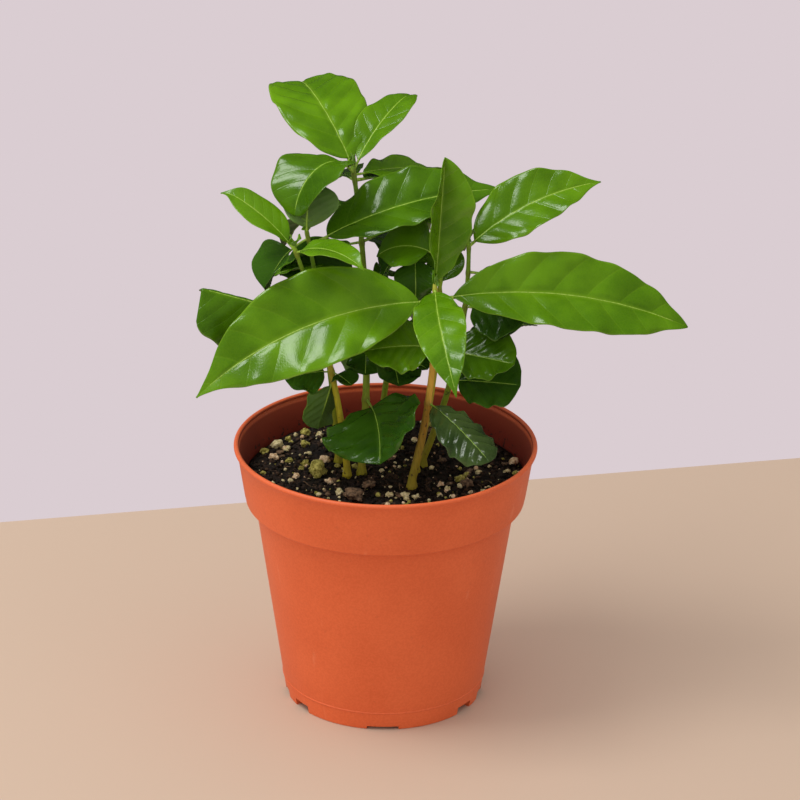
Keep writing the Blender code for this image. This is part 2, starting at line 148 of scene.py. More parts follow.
def meshObject(name, points, faces, materials, faceMaterial=None, smooth=True):
    mesh = bpy.data.meshes.new(name)
    mesh.from_pydata(np.asarray(points, float).tolist(), [], [list(map(int, face)) for face in faces])
    for material in materials:
        mesh.materials.append(material)
    if faceMaterial is not None:
        mesh.polygons.foreach_set("material_index", np.asarray(faceMaterial, np.int32))
    mesh.polygons.foreach_set("use_smooth", np.full(len(mesh.polygons), smooth))
    mesh.update()
    return linked(name, mesh)


# Several meshes, each as points and faces, as one
def gathered(parts):
    points, faces, base = [], [], 0
    for somePoints, someFaces in parts:
        points.append(somePoints)
        faces += [[index + base for index in face] for face in someFaces]
        base += len(somePoints)
    return np.concatenate(points), faces


# A vector at every point, which a finish reads as an attribute
def mark(piece, name, vectors):
    spot = piece.data.attributes.new(name, "FLOAT_VECTOR", "POINT")
    spot.data.foreach_set("vector", vectors.ravel())


def dress(piece, nodes=()):
    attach(piece, "root")
    if nodes:
        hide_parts(*nodes)
    return piece


def smooth(value):
    value = np.clip(value, 0, 1)
    return value * value * (3 - 2 * value)


def fullTurn(sides):
    return np.arange(sides) * 2 * np.pi / sides


def polar(radius, angle):
    return radius * math.cos(angle), radius * math.sin(angle)


# Points at shares of a line whose own points are evenly spread
def alongLine(line, shares):
    knots = np.linspace(0, 1, len(line))
    return np.stack([np.interp(shares, knots, line[:, k]) for k in range(3)], axis=-1)


# Each leaf leaves its stem at a height and goes its own way. Angles are in degrees: heading turns
# counter-clockwise from +X, rise is the slope at the start, droop how far it falls by the tip, curl a
# further fall near the tip, roll tips the blade, swerve turns it sideways, fold lifts its halves.
trueLeaf = {
    "petiole": 0.006, "curl": 0, "roll": 0, "swerve": 0, "fold": 12,
    "peak": 0.42, "fullness": 0.8, "tone": "mid", "veins": 7.0, "pillow": 0.08, "wave": 0.001, "waveLength": 0.021,
    "drip": 0.25, "blunt": 1.0,
}
seedLeaf = {
    **trueLeaf, "petiole": 0.004, "peak": 0.5, "fullness": 0.58, "tone": "dark",
    "veins": 5.5, "pillow": 0.17, "wave": 0.0014, "waveLength": 0.011, "drip": 0.0, "blunt": 0.8,
}


# A leaf at a height on its stem, with its turn, slope, length, width and fall, and what it has of its own
def leafAt(at, heading, rise, length, width, droop, kind=trueLeaf, **own):
    whole = {**kind, "at": at, "heading": heading, "rise": rise, "length": length, "width": width, "droop": droop}
    return {**whole, **own}


# Where a seedling stands, how tall it is, how far its tip leans from its foot, its bow, thickness and bark
def seedlingOf(foot, height, reach, bow, thickness, bark):
    return {"foot": foot, "height": height, "reach": reach, "bow": bow, "thickness": thickness, "bark": bark}


seedlings = {
    "front": seedlingOf((0.0134, -0.0145), 0.105, (0.0101, 0.0075), (0.0035, 0.0), 0.0042, "orange"),
    "left": seedlingOf((-0.0192, -0.001), 0.123, (-0.0263, -0.003), (0.0035, 0.003), 0.0036, "olive"),
    "left_back": seedlingOf((-0.024, 0.015), 0.128, (-0.0158, -0.0085), (0.002, 0.0), 0.0034, "green"),
    "tall": seedlingOf((-0.012, 0.002), 0.1507, (-0.0057, 0.035), (0.0045, 0.0), 0.004, "green"),
    "middle": seedlingOf((-0.003, 0.029), 0.114, (0.017, -0.009), (-0.003, 0.0), 0.0034, "green"),
    "right": seedlingOf((0.0155, 0.004), 0.115, (0.01, 0.004), (0.004, 0.0), 0.0034, "olive"),
    "right_leaning": seedlingOf((0.019, 0.0115), 0.12, (0.021, 0.0035), (0.006, 0.0), 0.0036, "green"),
}
nearLeaves = {
    "front": (
        leafAt(0.045, 311, -12, 0.045, 0.025, 16, seedLeaf, roll=12, fold=-12, tone="old", pillow=0.34, veins=7.5),
        leafAt(0.0735, 200, 14, 0.033, 0.034, 20, seedLeaf, roll=-35, tone="bright"),
        leafAt(0.097, 193, 5, 0.122, 0.051, 48, roll=-48, petiole=0.008, tone="bright"),
        leafAt(0.098, 5, 10, 0.12, 0.043, 36, roll=44, petiole=0.009, peak=0.5, tone="bright"),
        leafAt(0.103, 270, 0, 0.07, 0.026, 50, roll=12, swerve=20, petiole=0.003, tone="young"),
        leafAt(0.1035, 75, 76, 0.061, 0.032, 0, roll=50, fold=42, petiole=0.004, tone="bright", blunt=0.62, drip=0.0),
    ),
    "left": (
        leafAt(0.052, 190, -74, 0.024, 0.024, 0, seedLeaf, roll=58, tone="mid"),
        leafAt(0.0555, 196, 10, 0.02, 0.03, 30, seedLeaf, roll=-28),
        leafAt(0.0558, 318, -5, 0.01, 0.017, 20, seedLeaf),
        leafAt(0.084, 185, 17, 0.054, 0.048, 0, roll=-19, fold=-43, peak=0.6, blunt=0.45, drip=0.0),
        leafAt(0.1205, 320, 32, 0.042, 0.021, 58, roll=10, petiole=0.004, tone="young", wave=0.0004, pillow=0.05),
        leafAt(0.1212, 160, 50, 0.042, 0.022, 30, curl=35, roll=-15, tone="young", wave=0.0003, pillow=0.05),
    ),
    "left_back": (
        leafAt(0.124, 199, -20, 0.0265, 0.033, 68, petiole=0.01, fold=24, tone="dark", widen=1.2, pillow=0.14),
        leafAt(0.12, 18, 26.5, 0.092, 0.038, 31, roll=21, petiole=0.01, fullness=0.62),
        leafAt(0.1265, 258, 72, 0.027, 0.03, -100, petiole=0.003, peak=0.55),
    ),
    "tall": (
        leafAt(0.037, 290, 2, 0.04, 0.056, 40, seedLeaf, roll=27, fold=20, swerve=-22, petiole=0.01,
               fullness=0.7, pillow=0.27, wave=0.0018),
        leafAt(0.062, 268, -10, 0.013, 0.02, 40, seedLeaf),
        leafAt(0.099, 170, 14, 0.038, 0.03, 40, roll=-54, tone="dark"),
        leafAt(0.1472, 228, 58, 0.052, 0.038, 145, roll=4, blunt=0.6, drip=0.0),
        leafAt(0.1467, 36, 0, 0.053, 0.026, 20, roll=-1, fold=8, tone="bright", wave=0.0012, blunt=0.7, drip=0.0,
               lobes=((0.5, -1, 0.007), (0.9, -1, 0.008))),
        leafAt(0.1492, 130, 57, 0.077, 0.046, 80, roll=-6, swerve=-32, fold=4, peak=0.38, fullness=0.6,
               tone="bright", pillow=0.15, blunt=0.62, drip=0.0),
        leafAt(0.1487, 52, 52, 0.053, 0.023, 42, curl=60, peak=0.54, tone="bright", wave=0.0004),
    ),
    "middle": (
        leafAt(0.055, 280, 0, 0.022, 0.026, 30, seedLeaf, roll=-10),
        leafAt(0.0555, 330, 0, 0.018, 0.022, 20, seedLeaf),
        leafAt(0.11, 205, 20, 0.018, 0.022, 110, tone="dark"),
        leafAt(0.1125, 272, -25, 0.022, 0.022, 60, tone="dark"),
    ),
    "right": (
        leafAt(0.066, 335, 2, 0.038, 0.032, 5, seedLeaf, roll=25, tone="mid"),
        leafAt(0.096, 75, 50, 0.022, 0.02, 30),
        leafAt(0.1142, 164, 34, 0.029, 0.032, 80, roll=-36),
    ),
    "right_leaning": (
        leafAt(0.0465, 345, 5, 0.032, 0.037, 5, seedLeaf, roll=32),
        leafAt(0.086, 335, 0, 0.03, 0.034, 0, seedLeaf, roll=35),
        leafAt(0.1175, 12, 43, 0.07, 0.034, 38, roll=38, petiole=0.004, tone="bright"),
    ),
}

stemShape = {"ground": 0.118, "plumbHeight": 0.004, "flareHeight": 0.005, "flare": 1.45, "tipThinning": 0.54}

# Leaves on the far side of the crown: pairs at these heights, turned and sized by a seeded rule.
farLeaves = {
    "pairs": {
        "front": (0.06, 0.088), "left": (0.07, 0.1), "left_back": (0.066, 0.084, 0.102),
        "tall": (0.078, 0.096, 0.114, 0.132, 0.144), "middle": (0.066, 0.082, 0.1),
        "right": (0.08, 0.104), "right_leaning": (0.066, 0.104),
    },
    "headings": (40, 140), "spread": 45, "rise": (-10, 30), "droop": (30, 90), "length": (0.042, 0.086),
    "shape": 0.42, "trim": 0.95, "tries": 40, "stemSamples": 40, "clearance": 0.0055, "seed": 7,
    "sightFall": 0.434, "coverReach": 0.0026, "coverStations": 29, "coverColumns": 7,
}
bladeStations = (0.0, 0.07, 0.18, 0.32, 0.46, 0.6, 0.74, 0.86, 0.95, 1.0)
pathSteps = 24
petioleHalfWidth = 0.0009


def axisPoint(seedling, height):
    share = max(0.0, (height - stemShape["plumbHeight"]) / (seedling["height"] - stemShape["plumbHeight"]))
    bend = 4 * share * (1 - share)
    foot, reach, bow = seedling["foot"], seedling["reach"], seedling["bow"]
    return np.array((
        foot[0] + reach[0] * share + bow[0] * bend,
        foot[1] + reach[1] * share + bow[1] * bend,
        stemShape["ground"] + height,
    ))


def stemRadius(seedling, height):
    thinning = 1 - (1 - stemShape["tipThinning"]) * height / seedling["height"]
    flare = 1 + (stemShape["flare"] - 1) * max(0.0, 1 - height / stemShape["flareHeight"]) ** 2
    return seedling["thickness"] / 2 * thinning * flare


# Unit vectors along the midrib, to the blade's left and out of its upper face, at shares of its length.
def leafDirections(leaf, share):
    late = np.clip((share - 0.75) / 0.25, 0, 1)
    rise = np.radians(leaf["rise"] - leaf["droop"] * share - leaf["curl"] * late**2)
    heading = np.radians(leaf["heading"] + leaf["swerve"] * share)
    along = np.stack([np.cos(rise) * np.cos(heading), np.cos(rise) * np.sin(heading), np.sin(rise)], axis=-1)
    level = np.stack([-np.sin(heading), np.cos(heading), 0 * heading], axis=-1)
    upright = np.cross(along, level)
    roll = math.radians(leaf["roll"])
    left = level * math.cos(roll) + upright * math.sin(roll)
    return along, left, np.cross(along, left)


# Points of the midrib at shares of its whole length, petiole included.
def leafMidrib(leaf, root, share, count=pathSteps):
    steps = (np.arange(count) + 0.5) / count
    along = leafDirections(leaf, steps)[0]
    reach = (leaf["petiole"] + leaf["length"]) / count
    path = np.vstack([np.zeros(3), np.cumsum(along * reach, axis=0)])
    return root + alongLine(path, share)


# The blade's half width at a station from its foot to its tip, as a share of the widest
def bladeShape(leaf, station, blunt=1.0):
    peak = leaf["peak"]
    tail = leaf["fullness"] * (1 - peak) / peak * blunt
    return (station / peak) ** leaf["fullness"] * ((1 - station) / (1 - peak)) ** tail


def halfWidth(leaf, station):
    return np.maximum(leaf["width"] / 2 * bladeShape(leaf, station), petioleHalfWidth)


# The blade's left edge, midrib and right edge, from its root in the stem to its tip.
def leafRows(leaf, root, stations=bladeStations):
    whole = leaf["petiole"] + leaf["length"]
    stations = np.array(stations)
    share = np.concatenate([[0.0], (leaf["petiole"] + stations * leaf["length"]) / whole])
    width = np.concatenate([[petioleHalfWidth], halfWidth(leaf, stations)])[:, None]
    along, left, up = leafDirections(leaf, share)
    middle = leafMidrib(leaf, root, share)
    middle[0] -= along[0] * 0.0008
    fold = math.radians(leaf["fold"])
    lift = up * width * math.sin(fold)
    spread = left * width * math.cos(fold)
    return np.stack([middle + spread + lift, middle, middle - spread + lift], axis=1)


# Points of the blade at shares of the way from its midrib to each edge
def acrossBlade(rows, shares):
    shares = np.asarray(shares)[:, None]
    halves = [rows[:, [1]] * (1 - shares) + rows[:, [side]] * shares for side in (0, 2)]
    return np.concatenate(halves, axis=1).reshape(-1, 3)


def leafSamples(leaf, root):
    return acrossBlade(leafRows(leaf, root)[2:], (0, 0.5, 1))


def seenFromFront(points):
    return np.stack([points[:, 0], points[:, 2] + farLeaves["sightFall"] * points[:, 1], 0 * points[:, 0]], axis=1)


def leafCover(leaf, root):
    rows = leafRows(leaf, root, np.linspace(0, 1, farLeaves["coverStations"]))
    return seenFromFront(acrossBlade(rows, np.linspace(0, 1, farLeaves["coverColumns"])))


def finder(points):
    tree = kdtree.KDTree(len(points))
    for index, point in enumerate(points):
        tree.insert(point, index)
    tree.balance()
    return tree


def farLeaf(at, side, rng):
    length = rng.uniform(*farLeaves["length"])
    heading = side + rng.uniform(-farLeaves["spread"], farLeaves["spread"])
    rise, droop = rng.uniform(*farLeaves["rise"]), rng.uniform(*farLeaves["droop"])
    return leafAt(at, heading, rise, length, farLeaves["shape"] * length, droop)


# Every seedling's leaves with their roots. A far leaf that would touch another seedling, or show
# between the near leaves, is tried again with another turn, and skipped after some tries.
def grownLeaves():
    rng = random.Random(farLeaves["seed"])
    grown = {}
    for name, seedling in seedlings.items():
        grown[name] = [(leaf, axisPoint(seedling, leaf["at"])) for leaf in nearLeaves[name]]
    cover = finder(np.concatenate([leafCover(*leaf) for leaves in grown.values() for leaf in leaves]))
    stems = {
        name: np.array([axisPoint(seedling, h) for h in np.linspace(0, seedling["height"], farLeaves["stemSamples"])])
        for name, seedling in seedlings.items()
    }
    for name, seedling in seedlings.items():
        others = [leafSamples(*leaf) for other in grown if other != name for leaf in grown[other]]
        others = finder(np.concatenate(others + [stems[other] for other in seedlings if other != name]))
        for at in farLeaves["pairs"][name]:
            root = axisPoint(seedling, at)
            for side in farLeaves["headings"]:
                for _ in range(farLeaves["tries"]):
                    leaf = farLeaf(at, side, rng)
                    samples = leafSamples(leaf, root)
                    if min(others.find(point)[2] for point in samples) < farLeaves["clearance"]:
                        continue
                    if max(cover.find(point)[2] for point in seenFromFront(samples)) > farLeaves["coverReach"]:
                        continue
                    leaf["tone"] = toneDice.choice(("mid", "mid", "bright", "dark"))
                    leaf["trim"] = farLeaves["trim"]
                    grown[name].append((leaf, root))
                    break
    return grown


toneDice = random.Random(21)
leaves = grownLeaves()
print("leaves grown:", {name: len(found) for name, found in leaves.items()})


# The blade's deeper and lighter green, its side veins, its margin, and how rough its gloss is
leafTones = {
    "young": ((70, 114, 2), (92, 138, 6), (134, 172, 44), (150, 184, 60), 0.19),
    "bright": ((72, 114, 2), (94, 140, 3), (116, 154, 26), (136, 170, 48), 0.17),
    "mid": ((50, 86, 3), (74, 116, 5), (96, 138, 26), (116, 152, 44), 0.15),
    "dark": ((36, 70, 10), (54, 92, 16), (72, 112, 28), (92, 130, 40), 0.12),
    "old": ((40, 60, 24), (68, 88, 40), (92, 116, 72), (108, 130, 84), 0.16),
}
leafTexture = {"cellScale": 620, "cellDepth": 0.00002, "veinDepth": 0.00007, "grain": 0.000005}


def leafFinish(name, tone, under=False):
    deep, light, veinTone, edgeTone, gloss = tone
    finish = Finish(name)
    across, phase, _ = finish.attribute("leafPlace")
    vein = 1 - abs((phase * math.pi).sine()).ramp(0.0, 0.17)
    rib = 1 - abs(across).ramp(0.02, 0.1)
    edge = abs(across).ramp(0.945, 0.99)
    cells = finish.cells(leafTexture["cellScale"], "DISTANCE_TO_EDGE")
    patches = finish.noise(38, 3)
    blade = finish.blend(patches.ramp(0.36, 0.66), deep, light)
    blade = finish.blend(vein * 0.15 + (1 - cells.ramp(0.0, 0.2)) * 0.08, blade, veinTone)
    blade = finish.blend(rib * 0.35, blade, veinTone)
    blade = finish.blend(edge * 0.3, blade, edgeTone)
    if under:
        blade = finish.blend(0.22, blade, (140, 172, 100))
    height = cells.ramp(0.0, 0.25) * leafTexture["cellDepth"] - vein * leafTexture["veinDepth"] * (-1 if under else 1)
    height = height + finish.noise(900) * leafTexture["grain"]
    gloss = 0.5 if under else gloss
    return finish.wear(blade, gloss + patches * 0.1, height)


leafFinishes = {name: leafFinish("leaf_" + name, tone) for name, tone in leafTones.items()}
undersides = {name: leafFinish("underside_" + name, tone, True) for name, tone in leafTones.items()}
leafOrder = list(leafTones)


def ribFinish():
    finish = Finish("leaf_rib")
    streaks = finish.streaks((900, 900, 200), 2.0)
    colour = finish.blend(streaks.ramp(0.3, 0.7), (126, 164, 38), (162, 192, 74))
    return finish.wear(colour, 0.42 + streaks * 0.1, streaks * 0.00005)


leafMesh = {
    "step": 0.0011, "columns": 32, "thickness": 0.00042, "edgeThinning": 0.55, "uvPad": 0.0012, "uvRim": 0.0005,
    "veinSlant": 0.62, "veinCurve": 0.35, "sideShift": 0.37, "veinRidge": 0.00022, "pillowRound": 0.8,
    "edgeWave": 2.6, "slow": 0.0014, "lobeReach": 0.085, "lobeHang": 0.9, "ribStep": 0.0016, "ribSides": 8,
}


def fineWidth(leaf, station):
    shape = bladeShape(leaf, station, leaf["blunt"])
    shape = shape / max(1, shape.max()) * (1 - leaf["drip"] * smooth((station - 0.8) / 0.13))
    return np.sqrt((leaf["width"] * leaf.get("widen", 1) / 2 * shape) ** 2 + 0.0004**2)


# One blade as two skins and a rim: points, quads, material numbers, leafPlace and flat coordinates.
def bladeMesh(leaf, root, dice):
    look = leafMesh
    leaf = {**leaf, "length": leaf["length"] * leaf.get("trim", 1)}
    gap = leaf["length"] / leaf["veins"]
    rowCount = max(26, round(leaf["length"] / look["step"]))
    t = np.linspace(0, 1, rowCount + 1)
    s = np.linspace(-1, 1, look["columns"] + 1)[None, :]
    share = (leaf["petiole"] + t * leaf["length"]) / (leaf["petiole"] + leaf["length"])
    along, left, up = (part[:, None] for part in leafDirections(leaf, share))
    middle = leafMidrib(leaf, root, share, 96)[:, None]
    width = fineWidth(leaf, t)[:, None]
    t = t[:, None]
    size = np.abs(s)
    sideShift = np.where(s > 0, look["sideShift"], 0.0)
    run = t * leaf["length"] - size * width * look["veinSlant"] * (1 + look["veinCurve"] * size)
    phase = run / gap + sideShift + dice.random()
    veins = np.abs(np.sin(np.pi * phase))
    pillow = veins ** look["pillowRound"] * (0.78 + 0.22 * np.sin(2.3 * np.floor(phase) + 4 * sideShift))
    inside = smooth(size / 0.16) * (1 - 0.85 * smooth((size - 0.78) / 0.22)) * smooth(t / 0.07) * smooth((1 - t) / 0.1)
    broad = np.minimum(1, width / width.max() * 1.4)
    calm = smooth(t / 0.12) * smooth((1 - t) / 0.14) * broad
    turns = leaf["length"] / leaf["waveLength"] * (0.9 + 0.3 * dice.random())
    swing = np.sin(2 * np.pi * (t * turns + np.where(s > 0, dice.random(), dice.random())))
    second = np.sin(2 * np.pi * (t * turns * 1.73 + dice.random()) + 2 * s)
    slow = np.sin(2 * np.pi * (1.1 * t + dice.random())) * size**2 + np.sin(2 * np.pi * (0.8 * t + dice.random())) * s
    fold = math.radians(leaf["fold"])
    lift = (np.sqrt(size**2 + 0.012) - 0.1095) / (math.sqrt(1.012) - 0.1095)
    height = (
        width * math.sin(fold) * lift
        + leaf["pillow"] * gap * pillow * inside * broad
        + leaf["wave"] * size ** look["edgeWave"] * (swing + 0.4 * second) * calm
        + look["slow"] * slow * calm
    )
    across = s * width * math.cos(fold)
    for station, side, depth in leaf.get("lobes", ()):
        lobe = depth * np.exp(-(((t - station) / look["lobeReach"]) ** 2)) * np.maximum(0, s * side) ** 2
        across, height = across + side * lobe, height - lobe * look["lobeHang"]
    sheet = middle + left * across[..., None] + up * height[..., None]
    normal = np.cross(np.gradient(sheet, axis=0), np.gradient(sheet, axis=1))
    normal /= np.linalg.norm(normal, axis=2, keepdims=True)
    half = (look["thickness"] / 2 * (1 - look["edgeThinning"] * size**6) * np.ones_like(t))[..., None]
    ridge = (look["veinRidge"] * (1 - smooth(veins / 0.3)) * inside)[..., None]
    rows, columns = sheet.shape[:2]
    count = rows * columns
    points = np.concatenate([(sheet + normal * half).reshape(-1, 3), (sheet - normal * (half + ridge)).reshape(-1, 3)])
    place = np.stack([s + 0 * t, phase, t + 0 * s], axis=-1).reshape(-1, 3)
    grid = np.arange(count).reshape(rows, columns)
    a, b, c, d = grid[:-1, :-1], grid[1:, :-1], grid[1:, 1:], grid[:-1, 1:]
    topQuads = np.stack([a, b, c, d], axis=-1).reshape(-1, 4)
    lowQuads = np.stack([a, d, c, b], axis=-1).reshape(-1, 4) + count
    rims = []
    for line, flip, out in (
        (grid[:, 0], False, (0, -1)), (grid[:, -1], True, (0, 1)), (grid[0], True, (-1, 0)), (grid[-1], False, (1, 0)),
    ):
        near, far = line[:-1], line[1:]
        loop = (near, far, far + count, near + count) if flip else (near, near + count, far + count, far)
        rims.append((np.stack(loop, axis=-1), np.array(out) * look["uvRim"]))
    flat = np.stack([t * leaf["length"] + 0 * s, s * width], axis=-1).reshape(-1, 2)
    box = (leaf["length"] + 2 * look["uvPad"], 2 * width.max() + 2 * look["uvPad"])
    flat += (look["uvPad"], box[1] / 2)
    corners = [flat[topQuads]]
    for quads, out in rims:
        corner = flat[quads % count]
        corner[quads >= count] += out
        corners.append(corner)
    quads = np.concatenate([topQuads, *[quads for quads, _ in rims], lowQuads])
    tone = leafOrder.index(leaf["tone"])
    numbers = np.full(len(quads), tone)
    numbers[-len(lowQuads):] = tone + len(leafOrder)
    return {
        "points": points, "quads": quads, "numbers": numbers, "place": np.concatenate([place, place]), "box": box,
        "top": np.concatenate(corners), "low": flat[lowQuads - count],
        "rib": sheet[:, columns // 2], "up": up[:, 0],
    }


# Rectangles laid in rows, the tallest first: each one's lower left corner, and the side of their square.
def shelves(boxes):
    side = math.sqrt(sum(w * h for w, h in boxes)) * 1.06
    side = max(side, max(w for w, _ in boxes))
    corners = [None] * len(boxes)
    x = y = shelf = 0
    for index in sorted(range(len(boxes)), key=lambda i: -boxes[i][1]):
        w, h = boxes[index]
        if x + w > side:
            x, y, shelf = 0, y + shelf, 0
        corners[index] = (x, y)
        x, shelf = x + w, max(shelf, h)
    return corners, max(side, y + shelf)


def joinedLeaves(name, blades):
    def whole(key):
        return np.concatenate([blade[key] for blade in blades])

    corners, side = shelves([blade["box"] for blade in blades for _ in range(2)])
    bases = np.cumsum([0] + [len(blade["points"]) for blade in blades])
    quads = np.concatenate([blade["quads"] + base for blade, base in zip(blades, bases)])
    skins = [blade[skin] for blade in blades for skin in ("top", "low")]
    flats = np.concatenate([skin + corner for skin, corner in zip(skins, corners)])
    materials = [*leafFinishes.values(), *undersides.values()]
    used, slots = np.unique(whole("numbers"), return_inverse=True)
    piece = meshObject(name, whole("points"), quads, [materials[i] for i in used], slots)
    mark(piece, "leafPlace", whole("place"))
    layer = piece.data.uv_layers.new(name="OFBake")
    layer.data.foreach_set("uv", (flats / side).ravel())
    return piece


# A round tube through the points, closed at both ends.
def tube(points, radii, sides):
    points, radii = np.asarray(points), np.asarray(radii, float)
    along = np.gradient(points, axis=0)
    along /= np.linalg.norm(along, axis=1, keepdims=True)
    guide = (1.0, 0, 0) if abs(along[0][0]) < 0.8 else (0, 1.0, 0)
    first = guide - along * (along @ guide)[:, None]
    first /= np.linalg.norm(first, axis=1, keepdims=True)
    second = np.cross(along, first)
    turn = fullTurn(sides)
    if radii.ndim == 1:
        radii = np.repeat(radii[:, None], sides, axis=1)
    ring = first[:, None] * np.cos(turn)[None, :, None] + second[:, None] * np.sin(turn)[None, :, None]
    skin = (points[:, None] + ring * radii[..., None]).reshape(-1, 3)
    grid = np.arange(len(points) * sides).reshape(len(points), sides)
    beyond = np.roll(grid, -1, axis=1)
    quads = np.stack([grid[:-1], beyond[:-1], beyond[1:], grid[1:]], axis=-1).reshape(-1, 4)
    return skin, [*quads.tolist(), grid[0][::-1].tolist(), grid[-1].tolist()]


def ribTube(leaf, root, blade):
    count = max(12, round(leaf["length"] / leafMesh["ribStep"]))
    t = np.linspace(0, 0.93, count)
    line, up = alongLine(blade["rib"], t), alongLine(blade["up"], t)
    thick = 0.00028 + 0.0052 * leaf["length"]
    radii = thick * (1 - t) ** 0.7 + 0.0001
    line = line - up * (radii - 0.00034)[:, None]
    steps = np.linspace(0, 0.92, 8)
    share = steps * leaf["petiole"] / (leaf["petiole"] + leaf["length"])
    stalk = leafMidrib(leaf, root, share, 96)
    stalk = stalk + (line[0] - blade["rib"][0]) * smooth(steps)[:, None]
    points = np.concatenate([stalk, line])
    radii = np.concatenate([thick * (1.45 - 0.35 * steps), radii])
    return tube(points, radii, leafMesh["ribSides"])


leafDice = random.Random(5)
ribMaterial = ribFinish()
budLook = {"petiole": 0.0008, "pillow": 0.01, "wave": 0.0001}
for name, seedling in seedlings.items():
    tip = seedling["height"] - 0.0006
    heading = leafDice.uniform(0, 180)
    for side in (0, 180):
        bud = leafAt(tip, heading + side, 78, 0.0075, 0.0024, 12, tone="young", **budLook)
        leaves[name].append((bud, axisPoint(seedling, tip)))
    blades = [bladeMesh(leaf, root, leafDice) for leaf, root in leaves[name]]
    dress(joinedLeaves("leaves_" + name, blades), ["foliage_" + name])
    ribs = gathered([ribTube(leaf, root, blade) for (leaf, root), blade in zip(leaves[name], blades)])
    dress(meshObject("ribs_" + name, *ribs, [ribMaterial]))
print("leaves made:", sum(len(found) for found in leaves.values()))


stemMesh = {
    "ring": 0.0009, "sides": 28, "swelling": 0.24, "swellingHeight": 0.0015, "swellingMost": 1.1,
    "ridge": 0.045, "ridges": 5, "rough": 0.05, "sunk": 0.001,
    "dome": 0.002, "domeRings": (0.0, 0.0008, 0.0015, 0.0019),
}
# at the foot, along the stem and at the tip
barkTones = {
    "orange": ((164, 146, 36), (216, 168, 58), (180, 186, 60)),
    "olive": ((176, 160, 34), (194, 184, 38), (136, 176, 34)),
    "green": ((160, 152, 34), (136, 166, 28), (112, 156, 22)),
}


def barkFinish(name, tone):
    foot, body, top = tone
    finish = Finish(name)
    share, swelling, _ = finish.attribute("stemPlace")
    fibres = finish.streaks((1500, 1500, 160), 3.0)
    cracks = finish.cells(900).ramp(0.0, 0.5)
    spots = finish.noise(420, 3)
    colour = finish.blend(share.ramp(0.05, 0.35), foot, body)
    colour = finish.blend(share.ramp(0.62, 0.95), colour, top)
    colour = finish.blend(fibres.ramp(0.42, 0.72) * 0.3, colour, (92, 74, 26))
    colour = finish.blend(spots.ramp(0.62, 0.74) * (1 - share.ramp(0.25, 0.7)) * 0.8, colour, (58, 40, 18))
    colour = finish.blend(swelling * 0.4, colour, (104, 84, 34))
    height = fibres * 0.00016 + cracks * 0.00003
    return finish.wear(colour, 0.5 + fibres * 0.2, height)


barkFinishes = {name: barkFinish("bark_" + name, tone) for name, tone in barkTones.items()}


def stalk(name, seedling):
    look, top = stemMesh, seedling["height"]
    heights = np.append(np.arange(0, top, look["ring"]), top + np.array(look["domeRings"]))
    dome = np.sqrt(np.maximum(0.02, 1 - ((heights - top) / look["dome"]) ** 2))
    closing = np.where(heights > top - 1e-6, dome, 1)
    pairs = sorted({round(leaf["at"], 3) for leaf, _ in leaves[name] if leaf["at"] < top - 0.0007})
    bands = (np.exp(-(((heights - at + 0.0004) / look["swellingHeight"]) ** 2)) for at in pairs)
    swelling = np.minimum(sum(bands, np.zeros(len(heights))), look["swellingMost"])
    turn = fullTurn(look["sides"])
    radii = np.array([stemRadius(seedling, min(h, top)) for h in heights]) * closing
    radii = radii * (1 + look["swelling"] * swelling)
    seedShift = 10 * len(name)
    bumps = np.array([
        [noise.noise((math.cos(a) * 1.6, math.sin(a) * 1.6, h * 260 + seedShift)) * look["rough"] for a in turn]
        for h in heights
    ])
    ridges = look["ridge"] * np.sin(look["ridges"] * turn[None, :] + heights[:, None] * 30 + seedShift)
    radii = radii[:, None] * (1 + bumps + ridges * (1 - 0.5 * heights[:, None] / top))
    points = [axisPoint(seedling, h) for h in heights]
    points[0] = points[0] - (0, 0, look["sunk"])
    stem = meshObject("stalk_" + name, *tube(points, radii, look["sides"]), [barkFinishes[seedling["bark"]]])
    place = np.stack([heights / top, swelling, 0 * heights], axis=-1)
    mark(stem, "stemPlace", np.repeat(place, look["sides"], axis=0))
    return stem


for name, seedling in seedlings.items():
    dress(stalk(name, seedling), ["stem_" + name])
print("stems made:", len(seedlings))


pot = {
    "height": 0.136, "footRadius": 0.05, "bodyTaper": 0.146, "collarHeight": 0.03, "collarRadius": 0.0701,
    "collarTaper": 0.155, "wall": 0.0015, "beadRadius": 0.00125, "beadOverhang": 0.0014, "mouldLine": 0.0098,
    "floor": 0.0045, "pad": 0.02, "footWidth": 0.0035, "sides": 180,
    "frontNotch": {"angles": (0, 180), "width": 0.016, "height": 0.0018},
    "sideNotch": {"angles": (55, 78, 102, 125, 235, 258, 282, 305), "width": 0.011, "height": 0.004},
    "drainRadius": 0.0036, "drainRing": 0.034, "drains": 6,
    "lit": (226, 104, 55), "deep": (214, 92, 43), "scuff": (232, 136, 96),
}


def bodyRadius(height):
    return pot["footRadius"] + pot["bodyTaper"] * height


def collarRadius(height):
    return pot["collarRadius"] + pot["collarTaper"] * (height - pot["height"] + pot["collarHeight"])


# A quarter turn or so of a small round, as (radius, height) points
def roundCorner(middle, size, first, last, count=6):
    for step in range(count):
        x, z = polar(size, math.radians(first + (last - first) * step / (count - 1)))
        yield middle[0] + x, middle[1] + z


# A straight stretch of a wall, as (radius, height) points
def stretch(radiusAt, low, high, count, inset=0.0):
    return [(radiusAt(z) - inset, z) for z in np.linspace(low, high, count)]


